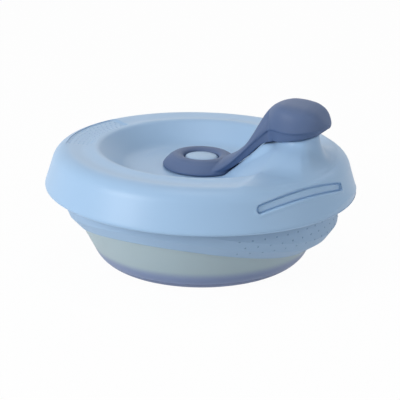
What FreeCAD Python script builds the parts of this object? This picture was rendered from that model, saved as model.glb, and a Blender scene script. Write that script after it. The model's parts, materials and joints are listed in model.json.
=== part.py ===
import FreeCAD, Part
import math
import os
import Sketcher
from FreeCAD import Placement, Rotation, Vector

# Baby bowl with a lid: a translucent bowl with a moulded grip band and a non-slip base pad,
# and a lift-off collar lid whose pouring spout is closed by a cap on a tether.
# The spout points along +X, +Z is up, and the origin is the middle of the underside.

# Driving sizes, in millimetres and degrees.
# Heights in the lid's own frame are measured from the plane of the collar's lower edge.
SIZES = {
    # bowl
    "bowl_rim_radius": 60.2,
    "bowl_rim_height": 44.5,
    "bowl_wall": 1.8,
    "waist_inset": 2.0,
    "waist_drop": 18.5,
    "waist_round": 20.0,
    "base_inset": 15.1,
    "base_corner_round": 12.4,
    "base_pad_height": 4.0,
    # grip band
    "band_proud": 1.2,
    "band_top_drop": 6.5,
    "band_side_drop": 20.3,
    "band_spout_drop": 33.1,
    "band_back_drop": 29.0,
    "band_edge_lip": 0.9,
    "band_flare_height": 8.8,
    "band_swell": 0.62,
    # lid collar
    "lid_tilt": 1.6,
    "lid_shift": 0.5,
    "collar_drop": 10.3,
    "collar_overhang": 9.9,
    "collar_wall": 2.4,
    "collar_edge_round": 1.1,
    "shoulder_inset": 5.7,
    "shoulder_height": 18.3,
    "shoulder_round": 7.5,
    "valley_inset": 17.6,
    "valley_height": 16.6,
    "valley_round": 9.0,
    "ridge_inset": 23.6,
    "ridge_height": 18.0,
    "ridge_round": 3.4,
    "dish_inset": 37.1,
    "dish_floor_height": 8.3,
    "dish_round": 12.0,
    # seat of the lid on the bowl's rim
    "rim_clearance": 0.4,
    "plug_clearance": 1.0,
    "plug_wall": 2.0,
    "plug_depth": 6.0,
    "seat_cover": 0.7,
    "seat_margin": 1.0,
    "seal_height": 1.2,
    "seal_clearance": 0.3,
    # spout
    "spout_inset": 24.6,
    "spout_radius": 8.5,
    "spout_height": 26.8,
    "spout_neck_drop": 6.3,
    "spout_foot_spread": 15.5,
    "spout_foot_setback": 3.7,
    "spout_foot_sink": 0.8,
    "spout_flare_power": 1.7,
    "spout_blend_round": 6.0,
    "spout_bore_radius": 5.4,
    "spout_throat_radius": 9.4,
    "spout_throat_height": 12.5,
    # recess on the collar's side
    "slot_turn": 26.3,
    "slot_reach": 24.8,
    "slot_width": 3.7,
    "slot_depth": 1.3,
    "slot_end_height": 9.6,
    "slot_peak_height": 15.8,
    "slot_bow_round": 86.0,
    "slot_low_end_round": 1.5,
    "slot_high_end_round": 0.7,
    # thumb pad
    "thumb_pad_inner_inset": 21.1,
    "thumb_pad_outer_inset": 9.6,
    "thumb_pad_depth": 0.7,
    "thumb_pad_angle": 46.0,
    # tether's button and ring
    "button_radius": 7.4,
    "button_height": 3.9,
    "button_round": 0.8,
    "button_shank_radius": 3.6,
    "button_barb_radius": 4.6,
    "button_barb_height": 1.4,
    "button_clearance": 0.3,
    "ring_width": 8.5,
    "ring_height": 5.8,
    "ring_crest_inset": 4.4,
    "ring_bore_height": 4.8,
    "ring_bore_round": 0.6,
    "ring_crest_round": 3.2,
    "ring_side_round": 2.4,
    "ring_foot_round": 0.5,
    "ring_foot_inset": 0.6,
    # strap, measured from the hinge at its root and from the spout's mouth
    "hinge_inset": 0.4,
    "hinge_rise": 8.5,
    "hinge_gap": 0.3,
    "hinge_depth_reach": 3.2,
    "hinge_depth_drop": 3.4,
    "strap_width": 9.5,
    "strap_flare_setback": 18.0,
    "strap_flare_round": 16.0,
    "strap_dome_round": 3.8,
    "strap_bend_setback": 26.0,
    "strap_bend_drop": 7.2,
    "strap_bend_round": 12.0,
    "strap_neck_setback": 16.5,
    "strap_neck_rise": 8.8,
    "strap_neck_round": 20.0,
    "strap_crown_setback": 12.0,
    "strap_crown_rise": 14.3,
    "strap_crown_round": 8.0,
    "strap_under_setback": 14.7,
    "strap_under_drop": 2.4,
    "strap_under_round": 2.5,
    "strap_mouth_gap": 1.4,
    # cap
    "cap_seat_gap": 0.3,
    "cap_under_radius": 9.3,
    "cap_lip_radius": 13.2,
    "cap_lip_rise": 4.6,
    "cap_lip_round": 0.8,
    "cap_crown_rise": 9.2,
    "cap_slope": 12.0,
    "cap_face_radius": 9.0,
    "cap_face_round": 10.0,
    "cap_bevel": 30.0,
    "cap_edge_round": 1.6,
    "cap_draft": 1.0,
    "cap_plug_length": 2.4,
    "cap_plug_radius": 5.0,
    "cap_plug_tip_radius": 4.0,
    "cap_plug_round": 0.6,
}

FULL_TURN = 360.0
QUARTER_TURN = 90.0
SPOUT_RINGS = 9
BAND_SECTIONS = 16


class Size:
    """A size tied to the sheet: its number now and the expression that keeps it tied."""

    def __init__(self, value, text):
        self.value = value
        self.text = text

    @staticmethod
    def of(other):
        return other if isinstance(other, Size) else Size(float(other), repr(float(other)))

    def combine(self, other, sign, value):
        return Size(value, "({} {} {})".format(self.text, sign, other.text))

    def __add__(self, other):
        other = Size.of(other)
        return self.combine(other, "+", self.value + other.value)

    def __sub__(self, other):
        other = Size.of(other)
        return self.combine(other, "-", self.value - other.value)

    def __mul__(self, other):
        other = Size.of(other)
        return self.combine(other, "*", self.value * other.value)

    def __truediv__(self, other):
        other = Size.of(other)
        return self.combine(other, "/", self.value / other.value)

    def __radd__(self, other):
        return Size.of(other) + self

    def __rsub__(self, other):
        return Size.of(other) - self

    def __rmul__(self, other):
        return Size.of(other) * self

    def __neg__(self):
        return Size.of(0.0) - self


doc = FreeCAD.newDocument("baby_bowl_with_lid")
sheet = doc.addObject("Spreadsheet::Sheet", "Sizes")
for row, (alias, number) in enumerate(SIZES.items(), start=1):
    cell = "A{}".format(row)
    sheet.set(cell, str(number))
    sheet.setAlias(cell, alias)
doc.recompute()


def size(alias):
    """The named driving size."""
    return Size(float(sheet.get(alias)), "Sizes." + alias)


def tie(thing, path, amount):
    """Bind one property of an object to an expression of driving sizes."""
    amount = Size.of(amount)
    thing.setExpression(path, amount.text)


def new_body(name):
    body = doc.addObject("PartDesign::Body", name)
    body.Label = name
    return body


def new_sketch(body, name, shift=(0.0, 0.0), tilt=0.0, turn=None):
    """A sketch on the body's upright XZ plane: shifted, tilted in that plane, or turned about Z."""
    plane = next(f for f in body.Origin.OriginFeatures if f.Role == "XZ_Plane")
    sketch = body.newObject("Sketcher::SketchObject", name)
    sketch.AttachmentSupport = [(plane, "")]
    sketch.MapMode = "FlatFace"
    if turn is not None:
        spin = Rotation(Vector(0, 1, 0), turn)
        lean = Rotation(Vector(0, 0, 1), Size.of(tilt).value)
        place = Vector(Size.of(shift[0]).value, Size.of(shift[1]).value, 0)
        sketch.AttachmentOffset = Placement(place, spin.multiply(lean))
    else:
        lean = Rotation(Vector(0, 0, 1), Size.of(tilt).value)
        sketch.AttachmentOffset = Placement(Vector(0, 0, 0), lean)
        tie(sketch, "AttachmentOffset.Base.x", shift[0])
        tie(sketch, "AttachmentOffset.Base.y", shift[1])
    return sketch


def hold(sketch, geo, end, axis, amount):
    """Dimension one point of a sketch from the origin along X or Y."""
    amount = Size.of(amount)
    if abs(amount.value) < 1e-9:
        sketch.addConstraint(Sketcher.Constraint("PointOnObject", geo, end, -2 if axis == "X" else -1))
        return
    if amount.value > 0:
        index = sketch.addConstraint(Sketcher.Constraint("Distance" + axis, -1, 1, geo, end, amount.value))
    else:
        amount = -amount
        index = sketch.addConstraint(Sketcher.Constraint("Distance" + axis, geo, end, -1, 1, amount.value))
    tie(sketch, "Constraints[{}]".format(index), amount)


def unit(a, b):
    length = math.hypot(b[0] - a[0], b[1] - a[1])
    return ((b[0] - a[0]) / length, (b[1] - a[1]) / length)


def draw_outline(sketch, corners):
    """A closed outline of straight sides. A corner is (x, y) or (x, y, radius of its round)."""
    count = len(corners)
    spots = [(Size.of(c[0]).value, Size.of(c[1]).value) for c in corners]
    leave, arrive, rounds = [None] * count, [None] * count, {}
    for i, corner in enumerate(corners):
        here = spots[i]
        leave[i] = arrive[i] = here
        if len(corner) < 3:
            continue
        radius = Size.of(corner[2]).value
        back = unit(here, spots[i - 1])
        ahead = unit(here, spots[(i + 1) % count])
        half = 0.5 * math.acos(back[0] * ahead[0] + back[1] * ahead[1])
        reach = radius / math.tan(half)
        arrive[i] = (here[0] + reach * back[0], here[1] + reach * back[1])
        leave[i] = (here[0] + reach * ahead[0], here[1] + reach * ahead[1])
        inward = unit((0, 0), (back[0] + ahead[0], back[1] + ahead[1]))
        depth = radius / math.sin(half) - radius
        rounds[i] = (here[0] + depth * inward[0], here[1] + depth * inward[1])
    lines = []
    for i in range(count):
        far = arrive[(i + 1) % count]
        lines.append(sketch.addGeometry(
            Part.LineSegment(Vector(leave[i][0], leave[i][1], 0), Vector(far[0], far[1], 0)), False))
    for i, corner in enumerate(corners):
        before, after = lines[i - 1], lines[i]
        if i not in rounds:
            sketch.addConstraint(Sketcher.Constraint("Coincident", before, 2, after, 1))
            hold(sketch, after, 1, "X", corner[0])
            hold(sketch, after, 1, "Y", corner[1])
            continue
        arc = sketch.addGeometry(Part.Arc(
            Vector(arrive[i][0], arrive[i][1], 0), Vector(rounds[i][0], rounds[i][1], 0),
            Vector(leave[i][0], leave[i][1], 0)), False)
        start = sketch.getPoint(arc, 1)
        first = 1 if math.hypot(start.x - arrive[i][0], start.y - arrive[i][1]) < 1e-6 else 2
        sketch.addConstraint(Sketcher.Constraint("Tangent", before, 2, arc, first))
        sketch.addConstraint(Sketcher.Constraint("Tangent", arc, 3 - first, after, 1))
        index = sketch.addConstraint(Sketcher.Constraint("Radius", arc, Size.of(corner[2]).value))
        tie(sketch, "Constraints[{}]".format(index), corner[2])
        point = sketch.addGeometry(Part.Point(Vector(spots[i][0], spots[i][1], 0)), True)
        sketch.addConstraint(Sketcher.Constraint("PointOnObject", point, 1, before))
        sketch.addConstraint(Sketcher.Constraint("PointOnObject", point, 1, after))
        hold(sketch, point, 1, "X", corner[0])
        hold(sketch, point, 1, "Y", corner[1])
    return sketch


def revolve(body, sketch, name, kind="Revolution", angle=FULL_TURN):
    """Turn an outline about the sketch's own upright axis."""
    feature = body.newObject("PartDesign::" + kind, name)
    feature.Profile = sketch
    feature.ReferenceAxis = (sketch, ["V_Axis"])
    if isinstance(angle, Size):
        feature.Midplane = True
        tie(feature, "Angle", angle)
    else:
        feature.Angle = angle
    return feature


def across(body, sketch, name, kind, width):
    """Pad or pocket an upright outline by the same amount to both sides."""
    feature = body.newObject("PartDesign::" + kind, name)
    feature.Profile = sketch
    feature.SideType = "Symmetric"
    tie(feature, "Length", width)
    return feature


def round_edges(body, feature, name, radius, wanted):
    """Round the edges of a feature that a test picks."""
    doc.recompute()
    names = ["Edge{}".format(i) for i, edge in enumerate(feature.Shape.Edges, start=1) if wanted(edge)]
    fillet = body.newObject("PartDesign::Fillet", name)
    fillet.Base = (feature, names)
    tie(fillet, "Radius", radius)
    return fillet


wall = size("bowl_wall")
rim_radius = size("bowl_rim_radius")
rim_height = size("bowl_rim_height")
waist_radius = rim_radius - size("waist_inset")
waist_height = rim_height - size("waist_drop")
base_radius = rim_radius - size("base_inset")
pad_height = size("base_pad_height")
lid_edge = rim_height - size("collar_drop")
lid_shift = size("lid_shift")
lid_tilt = size("lid_tilt")
collar_radius = rim_radius + size("collar_overhang")
shoulder_radius = collar_radius - size("shoulder_inset")
valley_radius = collar_radius - size("valley_inset")
ridge_radius = collar_radius - size("ridge_inset")
dish_radius = collar_radius - size("dish_inset")
dish_floor = size("dish_floor_height")
spout_offset = collar_radius - size("spout_inset")
spout_top = size("spout_height")
spout_foot = dish_floor - size("spout_foot_sink")
ring_bore = size("button_radius") + size("button_clearance")
ring_radius = ring_bore + size("ring_width")


def lid_sketch(body, name, along=0.0, height=0.0, slope=0.0):
    """A sketch in the lid's own frame, or at a place along its X axis, a height and a slope in it."""
    lean = math.radians(lid_tilt.value)
    along, height = Size.of(along), Size.of(height)
    sketch = new_sketch(body, name, tilt=-(lid_tilt + slope))
    tie(sketch, "AttachmentOffset.Base.x", along * math.cos(lean) + height * math.sin(lean) - lid_shift)
    tie(sketch, "AttachmentOffset.Base.y", lid_edge + height * math.cos(lean) - along * math.sin(lean))
    return sketch


def lid_level_sketch(body, name, along, height):
    """A level sketch in the lid's own frame, at a place along its X axis and a height."""
    lean = math.radians(lid_tilt.value)
    plane = next(f for f in body.Origin.OriginFeatures if f.Role == "XY_Plane")
    sketch = body.newObject("Sketcher::SketchObject", name)
    sketch.AttachmentSupport = [(plane, "")]
    sketch.MapMode = "FlatFace"
    sketch.AttachmentOffset = Placement(Vector(0, 0, 0), Rotation(Vector(0, 1, 0), lid_tilt.value))
    tie(sketch, "AttachmentOffset.Base.x", along * math.cos(lean) + height * math.sin(lean) - lid_shift)
    tie(sketch, "AttachmentOffset.Base.z", lid_edge + height * math.cos(lean) - along * math.sin(lean))
    return sketch


def bowl_outside(floor):
    """The bowl's outer outline from its axis to the rim, starting at a height on the axis."""
    return [
        (0.0, floor),
        (base_radius, floor, size("base_corner_round")),
        (waist_radius, waist_height, size("waist_round")),
        (rim_radius, rim_height),
    ]


def make_bowl():
    """A thin bowl, cut off flat where the base pad takes over its rounded foot."""
    body = new_body("bowl")
    floor = pad_height + wall
    outline = bowl_outside(0.0) + [
        (rim_radius - wall, rim_height),
        (waist_radius - wall, waist_height, size("waist_round")),
        (base_radius - wall, floor, size("base_corner_round") - wall),
        (0.0, floor),
    ]
    revolve(body, draw_outline(new_sketch(body, "bowl_outline"), outline), "bowl_wall_turned")
    foot = [(0.0, 0.0), (rim_radius, 0.0), (rim_radius, pad_height), (0.0, pad_height)]
    revolve(body, draw_outline(new_sketch(body, "foot_outline"), foot), "foot_cut", "Groove")
    return body


def make_base_pad():
    """The non-slip foot: it carries on the bowl's outline down to the table."""
    body = new_body("base_pad")
    outline = bowl_outside(0.0) + [(0.0, rim_height)]
    revolve(body, draw_outline(new_sketch(body, "pad_outline"), outline), "pad_turned")
    above = [(0.0, pad_height), (rim_radius, pad_height), (rim_radius, rim_height), (0.0, rim_height)]
    revolve(body, draw_outline(new_sketch(body, "pad_top_outline"), above), "pad_top_cut", "Groove")
    return body


def make_grip_band():
    """A soft band round the bowl: its lower edge dips under the spout and at the back."""
    body = new_body("grip_band_blank")
    side = rim_height - size("band_side_drop")
    lean = 0.5 * (size("band_back_drop") - size("band_spout_drop"))
    dip = size("band_side_drop") - 0.5 * (size("band_spout_drop") + size("band_back_drop"))
    band_radius = rim_radius + size("band_proud")
    top = rim_height - size("band_top_drop")
    slope = (waist_radius - base_radius) / waist_height
    sections = []
    for i in range(BAND_SECTIONS):
        angle = FULL_TURN * i / BAND_SECTIONS
        facing = math.cos(math.radians(angle))
        edge = side + lean * facing + dip * facing ** 2
        inner = base_radius + slope * edge
        lip = inner + size("band_edge_lip")
        flare = size("band_flare_height")
        outline = [
            (inner - wall, edge),
            (lip, edge),
            (lip + size("band_swell") * (band_radius - inner), edge + 0.5 * flare),
            (band_radius, edge + flare),
            (band_radius, top),
            (waist_radius - wall, top),
        ]
        sketch = new_sketch(body, "band_section_{}".format(i), turn=angle)
        sections.append(draw_outline(sketch, outline))
    loft = body.newObject("PartDesign::AdditiveLoft", "band_lofted")
    loft.Profile = sections[0]
    loft.Sections = sections[1:]
    loft.Closed = True
    core = new_body("bowl_core")
    inside = bowl_outside(0.0) + [(0.0, rim_height)]
    revolve(core, draw_outline(new_sketch(core, "core_outline"), inside), "core_turned")
    band = doc.addObject("Part::Cut", "grip_band")
    band.Base = body
    band.Tool = core
    return band


def make_lid_collar():
    """The collar lid: a thin shell with a dished top, a flared spout and a seat for the bowl's rim."""
    body = new_body("lid_shell")
    shell = size("collar_wall")
    shoulder_z = size("shoulder_height")
    valley_z = size("valley_height")
    ridge_z = size("ridge_height")
    seat_z = spout_foot - size("seat_cover")
    plug_in = rim_radius - wall - size("plug_clearance") - size("plug_wall")
    seat_in = plug_in - size("seat_margin")
    lean = (collar_radius - shoulder_radius) / shoulder_z
    outline = [
        (0.0, dish_floor - shell),
        (dish_radius + 0.4 * shell, dish_floor - shell, size("dish_round") + shell),
        (ridge_radius + 0.2 * shell, ridge_z - 1.25 * shell, size("ridge_round")),
        (valley_radius, valley_z - shell),
        (seat_in, valley_z - shell),
        (seat_in, seat_z),
        (collar_radius - shell - lean * seat_z, seat_z),
        (collar_radius - shell, 0.0, size("collar_edge_round")),
        (collar_radius, 0.0, size("collar_edge_round")),
        (shoulder_radius, shoulder_z, size("shoulder_round")),
        (valley_radius, valley_z, size("valley_round")),
        (ridge_radius, ridge_z, size("ridge_round")),
        (dish_radius, dish_floor, size("dish_round")),
        (0.0, dish_floor),
    ]
    revolve(body, draw_outline(lid_sketch(body, "shell_outline"), outline), "shell_turned")
    make_spout(body, shell)
    make_thumb_pad(body)
    make_rim_seat(body, plug_in)
    shank = size("button_shank_radius") + size("button_clearance")
    hole = [(0.0, 0.0), (shank, 0.0), (shank, shoulder_z), (0.0, shoulder_z)]
    revolve(body, draw_outline(lid_sketch(body, "button_hole_outline"), hole), "button_hole", "Groove")
    lid = doc.addObject("Part::Cut", "lid_collar")
    lid.Base = body
    lid.Tool = make_slot()
    return lid


def make_spout(body, shell):
    """The spout: a loft of circles that flares into the deck, with a throat open to the bowl."""
    rings = []
    for i in range(SPOUT_RINGS):
        fall = i / (SPOUT_RINGS - 1)
        spread = fall ** size("spout_flare_power").value
        sketch = lid_level_sketch(
            body, "spout_ring_{}".format(i),
            spout_offset - spread * size("spout_foot_setback"), spout_top + fall * (spout_foot - spout_top))
        radius = size("spout_radius") + spread * size("spout_foot_spread")
        circle = sketch.addGeometry(Part.Circle(Vector(0, 0, 0), Vector(0, 0, 1), radius.value), False)
        sketch.addConstraint(Sketcher.Constraint("Coincident", circle, 3, -1, 1))
        index = sketch.addConstraint(Sketcher.Constraint("Radius", circle, radius.value))
        tie(sketch, "Constraints[{}]".format(index), radius)
        rings.append(sketch)
    flare = body.newObject("PartDesign::AdditiveLoft", "spout_lofted")
    flare.Profile = rings[0]
    flare.Sections = rings[1:]
    round_edges(body, flare, "spout_blended", size("spout_blend_round"), meets_spout)
    bore = size("spout_bore_radius")
    throat = size("spout_throat_radius")
    channel = [
        (0.0, 0.0),
        (throat, 0.0),
        (throat, size("spout_throat_height")),
        (bore, spout_top - size("spout_neck_drop")),
        (bore, spout_top + shell),
        (0.0, spout_top + shell),
    ]
    throat_sketch = draw_outline(lid_sketch(body, "throat_outline", spout_offset), channel)
    revolve(body, throat_sketch, "throat_cut", "Groove")


def meets_spout(edge):
    """Whether an edge runs where the outside of the flare meets the deck or the dish."""
    lid = lid_placement().inverse()
    middle = lid.multVec(edge.valueAt(0.5 * (edge.FirstParameter + edge.LastParameter)))
    reach = math.hypot(middle.x, middle.y)
    in_plane = max(abs(edge.BoundBox.YMin), abs(edge.BoundBox.YMax)) < 0.1
    span = math.hypot(middle.x - spout_offset.value, middle.y)
    mouth = size("spout_radius")
    near = mouth.value < span < (mouth + 1.3 * size("spout_foot_spread")).value
    return near and not in_plane and abs(middle.z - deck_height(reach)) < 0.5 * size("collar_wall").value


def deck_height(reach):
    """The height of the lid's top at a distance from its axis, without the rounds."""
    course = [
        (Size.of(0.0), dish_floor),
        (dish_radius, dish_floor),
        (ridge_radius, size("ridge_height")),
        (valley_radius, size("valley_height")),
        (shoulder_radius, size("shoulder_height")),
        (collar_radius, Size.of(0.0)),
    ]
    for (r0, z0), (r1, z1) in zip(course, course[1:]):
        if r0.value <= reach <= r1.value:
            share = (reach - r0.value) / (r1.value - r0.value)
            return z0.value + share * (z1.value - z0.value)
    return 0.0


def make_thumb_pad(body):
    """A shallow rest for the thumb on the deck, opposite the spout."""
    inner = collar_radius - size("thumb_pad_inner_inset")
    outer = collar_radius - size("thumb_pad_outer_inset")
    low = size("valley_height") - size("thumb_pad_depth")
    deck_rise = (size("shoulder_height") - size("valley_height")) / (shoulder_radius - valley_radius)
    above = size("shoulder_height") + size("ridge_round")
    outline = [
        (inner, low),
        (valley_radius, low),
        (outer, low + deck_rise * (outer - valley_radius)),
        (outer, above),
        (inner, above),
    ]
    sketch = new_sketch(body, "thumb_pad_outline", (-lid_shift, lid_edge), lid_tilt, turn=180.0)
    revolve(body, draw_outline(sketch, outline), "thumb_pad_cut", "Groove", size("thumb_pad_angle"))


def make_rim_seat(body, plug_in):
    """An upright channel for the bowl's rim and the seal, with a plug wall on its inner side."""
    channel_in = rim_radius - wall - size("plug_clearance")
    channel_out = rim_radius + size("rim_clearance")
    low = rim_height - size("plug_depth")
    ceiling = rim_height + size("seal_clearance") + size("seal_height")
    plug = [(plug_in, low), (channel_in, low), (channel_in, ceiling), (plug_in, ceiling)]
    revolve(body, draw_outline(new_sketch(body, "plug_outline"), plug), "plug_turned")
    channel = [(channel_in, low), (channel_out, low), (channel_out, ceiling), (channel_in, ceiling)]
    revolve(body, draw_outline(new_sketch(body, "channel_outline"), channel), "channel_cut", "Groove")


def lid_placement():
    """The lid's own frame: shifted, raised and leaning to the spout."""
    return Placement(Vector(-lid_shift.value, 0, lid_edge.value), Rotation(Vector(0, 1, 0), lid_tilt.value))


def make_slot():
    """The long arched recess on the collar's side, as deep all along: it climbs towards the spout."""
    half = 0.5 * size("slot_width")
    low, high = size("slot_end_height"), size("slot_peak_height")
    reach = size("slot_reach")
    turn = -size("slot_turn").value
    arch = new_body("slot_arch")
    outline = [
        (-reach, low - half, size("slot_low_end_round")),
        (0.0, high - half, size("slot_bow_round") - half),
        (reach, low - half, size("slot_high_end_round")),
        (reach, low + half, size("slot_high_end_round")),
        (0.0, high + half, size("slot_bow_round") + half),
        (-reach, low + half, size("slot_low_end_round")),
    ]
    arch_sketch = draw_outline(new_sketch(arch, "slot_outline", turn=turn + QUARTER_TURN), outline)
    across(arch, arch_sketch, "slot_padded", "Pad", 2 * (collar_radius + half))
    layer = new_body("slot_layer")
    lean = (collar_radius - shoulder_radius) / size("shoulder_height")
    floor = collar_radius - size("slot_depth")
    bottom, top = low - size("slot_width"), high + size("slot_width")
    section = [
        (floor - lean * bottom, bottom),
        (collar_radius + half, bottom),
        (collar_radius + half, top),
        (floor - lean * top, top),
    ]
    layer_sketch = draw_outline(new_sketch(layer, "slot_layer_outline", turn=turn), section)
    revolve(layer, layer_sketch, "slot_layer_turned", angle=Size.of(QUARTER_TURN))
    for body in (arch, layer):
        body.Placement = lid_placement()
    slot = doc.addObject("Part::MultiCommon", "slot_tool")
    slot.Shapes = [arch, layer]
    return slot


def make_rim_seal():
    """The gasket in the top of the lid's channel, just above the bowl's rim."""
    body = new_body("rim_seal")
    inner = rim_radius - wall - size("plug_clearance")
    outer = rim_radius + size("rim_clearance")
    low = rim_height + size("seal_clearance")
    high = low + size("seal_height")
    outline = [(inner, low), (outer, low), (outer, high), (inner, high)]
    revolve(body, draw_outline(new_sketch(body, "seal_outline"), outline), "seal_turned")
    return body


def make_tether_button():
    """The button that holds the tether's ring: it snaps through the floor of the dish."""
    body = new_body("tether_button")
    radius, shank = size("button_radius"), size("button_shank_radius")
    top = dish_floor + size("button_height")
    barb_top = dish_floor - size("collar_wall") - size("button_clearance")
    barb_low = barb_top - size("button_barb_height")
    outline = [
        (0.0, barb_low),
        (shank, barb_low),
        (size("button_barb_radius"), barb_top),
        (shank, barb_top),
        (shank, dish_floor),
        (radius, dish_floor),
        (radius, top, size("button_round")),
        (0.0, top),
    ]
    revolve(body, draw_outline(lid_sketch(body, "button_outline"), outline), "button_turned")
    return body


def hinge_line():
    """The hinge at the strap's root: its upper point and the lower end of the split below it."""
    upper = (ring_radius - size("hinge_inset"), dish_floor + size("hinge_rise"))
    lower = (upper[0] + size("hinge_depth_reach"), upper[1] - size("hinge_depth_drop"))
    return upper, lower


def make_domed_strap(name, outline, tops, flared=False):
    """A strap whose upper edges, along some of its corners, are rounded to a dome. It may widen to the cap."""
    body = new_body(name)
    width = size("strap_width")
    sketch = draw_outline(lid_sketch(body, name + "_outline"), outline)
    strap = across(body, sketch, name + "_padded", "Pad", 2 * size("cap_under_radius") if flared else width)
    if flared:
        strap = trim_to_flare(body)
    side = 0.5 * width.value
    lid = lid_placement().inverse()
    spots = [(Size.of(c[0]).value, Size.of(c[1]).value) for c in tops]

    def upper(edge):
        middle = lid.multVec(edge.valueAt(0.5 * (edge.FirstParameter + edge.LastParameter)))
        return abs(middle.y) > 0.9 * side and near_course((middle.x, middle.z), spots)

    round_edges(body, strap, name + "_domed", size("strap_dome_round"), upper)
    return body


def trim_to_flare(body):
    """Cut both sides of a wide strap so that it keeps one width, then widens to the cap's underside."""
    half, wide = 0.5 * size("strap_width"), 1.5 * size("cap_under_radius")
    spread = (size("cap_under_radius") - half) / size("strap_flare_setback")
    flare_x = spout_offset - size("strap_flare_setback")
    beyond = spout_offset + size("cap_lip_radius")
    for side, name in ((1.0, "far"), (-1.0, "near")):
        outline = [
            (0.0, side * half),
            (flare_x, side * half, size("strap_flare_round")),
            (beyond, side * (half + spread * (beyond - flare_x))),
            (beyond, side * (wide + half)),
            (0.0, side * (wide + half)),
        ]
        sketch = lid_level_sketch(body, name + "_side_outline", Size.of(0.0), Size.of(0.0))
        trim = body.newObject("PartDesign::Pocket", name + "_side_cut")
        trim.Profile = draw_outline(sketch, outline)
        trim.SideType = "Symmetric"
        tie(trim, "Length", 4 * (spout_top + size("cap_crown_rise")))
    return trim


def near_course(spot, course):
    """Whether a point lies close to a run of straight lines."""
    for a, b in zip(course, course[1:]):
        ahead = unit(a, b)
        along = (spot[0] - a[0]) * ahead[0] + (spot[1] - a[1]) * ahead[1]
        aside = (spot[0] - a[0]) * ahead[1] - (spot[1] - a[1]) * ahead[0]
        if 0.0 <= along <= math.hypot(b[0] - a[0], b[1] - a[1]) and abs(aside) < 1.0:
            return True
    return False


def make_tether_ring():
    """The soft ring round the button, with the root of the strap."""
    body = new_body("ring_blank")
    crest_r = ring_radius - size("ring_crest_inset")
    ring = [
        (ring_bore, dish_floor),
        (ring_radius - size("ring_foot_inset"), dish_floor, size("ring_foot_round")),
        (ring_radius, dish_floor + 0.5 * size("ring_height"), size("ring_side_round")),
        (crest_r, dish_floor + size("ring_height"), size("ring_crest_round")),
        (ring_bore, dish_floor + size("ring_bore_height"), size("ring_bore_round")),
    ]
    revolve(body, draw_outline(lid_sketch(body, "ring_outline"), ring), "ring_turned")
    upper, lower = hinge_line()
    top = (crest_r, dish_floor + size("ring_height"))
    root = [
        top, upper, lower,
        (0.5 * (crest_r + ring_radius), dish_floor + size("ring_foot_round")),
        (crest_r, dish_floor + size("ring_foot_round")),
    ]
    stub = make_domed_strap("strap_root", root, [top, upper])
    whole = doc.addObject("Part::MultiFuse", "tether_ring")
    whole.Shapes = [body, stub]
    return whole


def make_spout_cap():
    """The cap and its strap: a tapered plug, a lip and a crown that slopes outwards."""
    body = new_body("cap_head")
    seat = spout_top + size("cap_seat_gap")
    tip = seat - size("cap_plug_length")
    lip_r, lip_z = size("cap_lip_radius"), seat + size("cap_lip_rise")
    crown, face = size("cap_crown_rise"), size("cap_face_radius")
    top = lip_z + crown + lip_r
    outline = [
        (0.0, tip),
        (size("cap_plug_tip_radius"), tip, size("cap_plug_round")),
        (size("cap_plug_radius"), seat),
        (size("cap_under_radius"), seat),
        (lip_r, lip_z, size("cap_lip_round")),
        (lip_r - size("cap_draft"), top),
        (0.0, top),
    ]
    revolve(body, draw_outline(lid_sketch(body, "cap_outline", spout_offset), outline), "cap_turned")
    beyond = 1.5 * lip_r
    fall = math.tan(math.radians(size("cap_bevel").value))
    above = [
        (0.0, crown),
        (face, crown, size("cap_face_round")),
        (beyond, crown - fall * (beyond - face)),
        (beyond, crown + 2 * lip_r),
        (0.0, crown + 2 * lip_r),
    ]
    crown_sketch = draw_outline(
        lid_sketch(body, "crown_outline", spout_offset, lip_z, size("cap_slope")), above)
    cut = revolve(body, crown_sketch, "crown_cut", "Groove")
    lip_level = (lid_edge + lip_z).value
    round_edges(
        body, cut, "crown_rounded", size("cap_edge_round"),
        lambda edge: edge.BoundBox.ZMin > lip_level and isinstance(edge.Curve, Part.BSplineCurve))
    whole = doc.addObject("Part::MultiFuse", "spout_cap")
    whole.Shapes = [body, make_strap(seat)]
    return whole


def make_strap(seat):
    """The thick strap from the hinge at the ring up to the inner side of the cap."""
    upper, lower = hinge_line()
    ahead = unit(*[(p[0].value, p[1].value) for p in (lower, upper)])
    gap = size("hinge_gap")
    start_high = (upper[0] + ahead[1] * gap, upper[1] - ahead[0] * gap)
    start_low = (lower[0] + ahead[1] * gap, lower[1] - ahead[0] * gap)
    under_z = spout_top - size("strap_under_drop")
    mouth_x = spout_offset - size("spout_radius") - size("strap_mouth_gap")
    inside_x = spout_offset - 0.5 * size("cap_lip_radius")
    bend = (spout_offset - size("strap_bend_setback"), spout_top - size("strap_bend_drop"))
    neck = (spout_offset - size("strap_neck_setback"), spout_top + size("strap_neck_rise"))
    crown = (spout_offset - size("strap_crown_setback"), spout_top + size("strap_crown_rise"))
    outline = [
        start_high,
        bend + (size("strap_bend_round"),),
        neck + (size("strap_neck_round"),),
        crown + (size("strap_crown_round"),),
        (inside_x, crown[1]),
        (inside_x, seat + size("cap_lip_rise")),
        (spout_offset, seat + size("cap_lip_rise")),
        (spout_offset, seat),
        (mouth_x, seat),
        (mouth_x, under_z),
        (spout_offset - size("strap_under_setback"), under_z, size("strap_under_round")),
        start_low,
    ]
    tops = [start_high, bend, neck, crown, (inside_x, crown[1])]
    return make_domed_strap("strap", outline, tops, flared=True)


bowl = make_bowl()
base_pad = make_base_pad()
grip_band = make_grip_band()
lid_collar = make_lid_collar()
rim_seal = make_rim_seal()
tether_button = make_tether_button()
tether_ring = make_tether_ring()
spout_cap = make_spout_cap()
doc.recompute()

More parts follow.
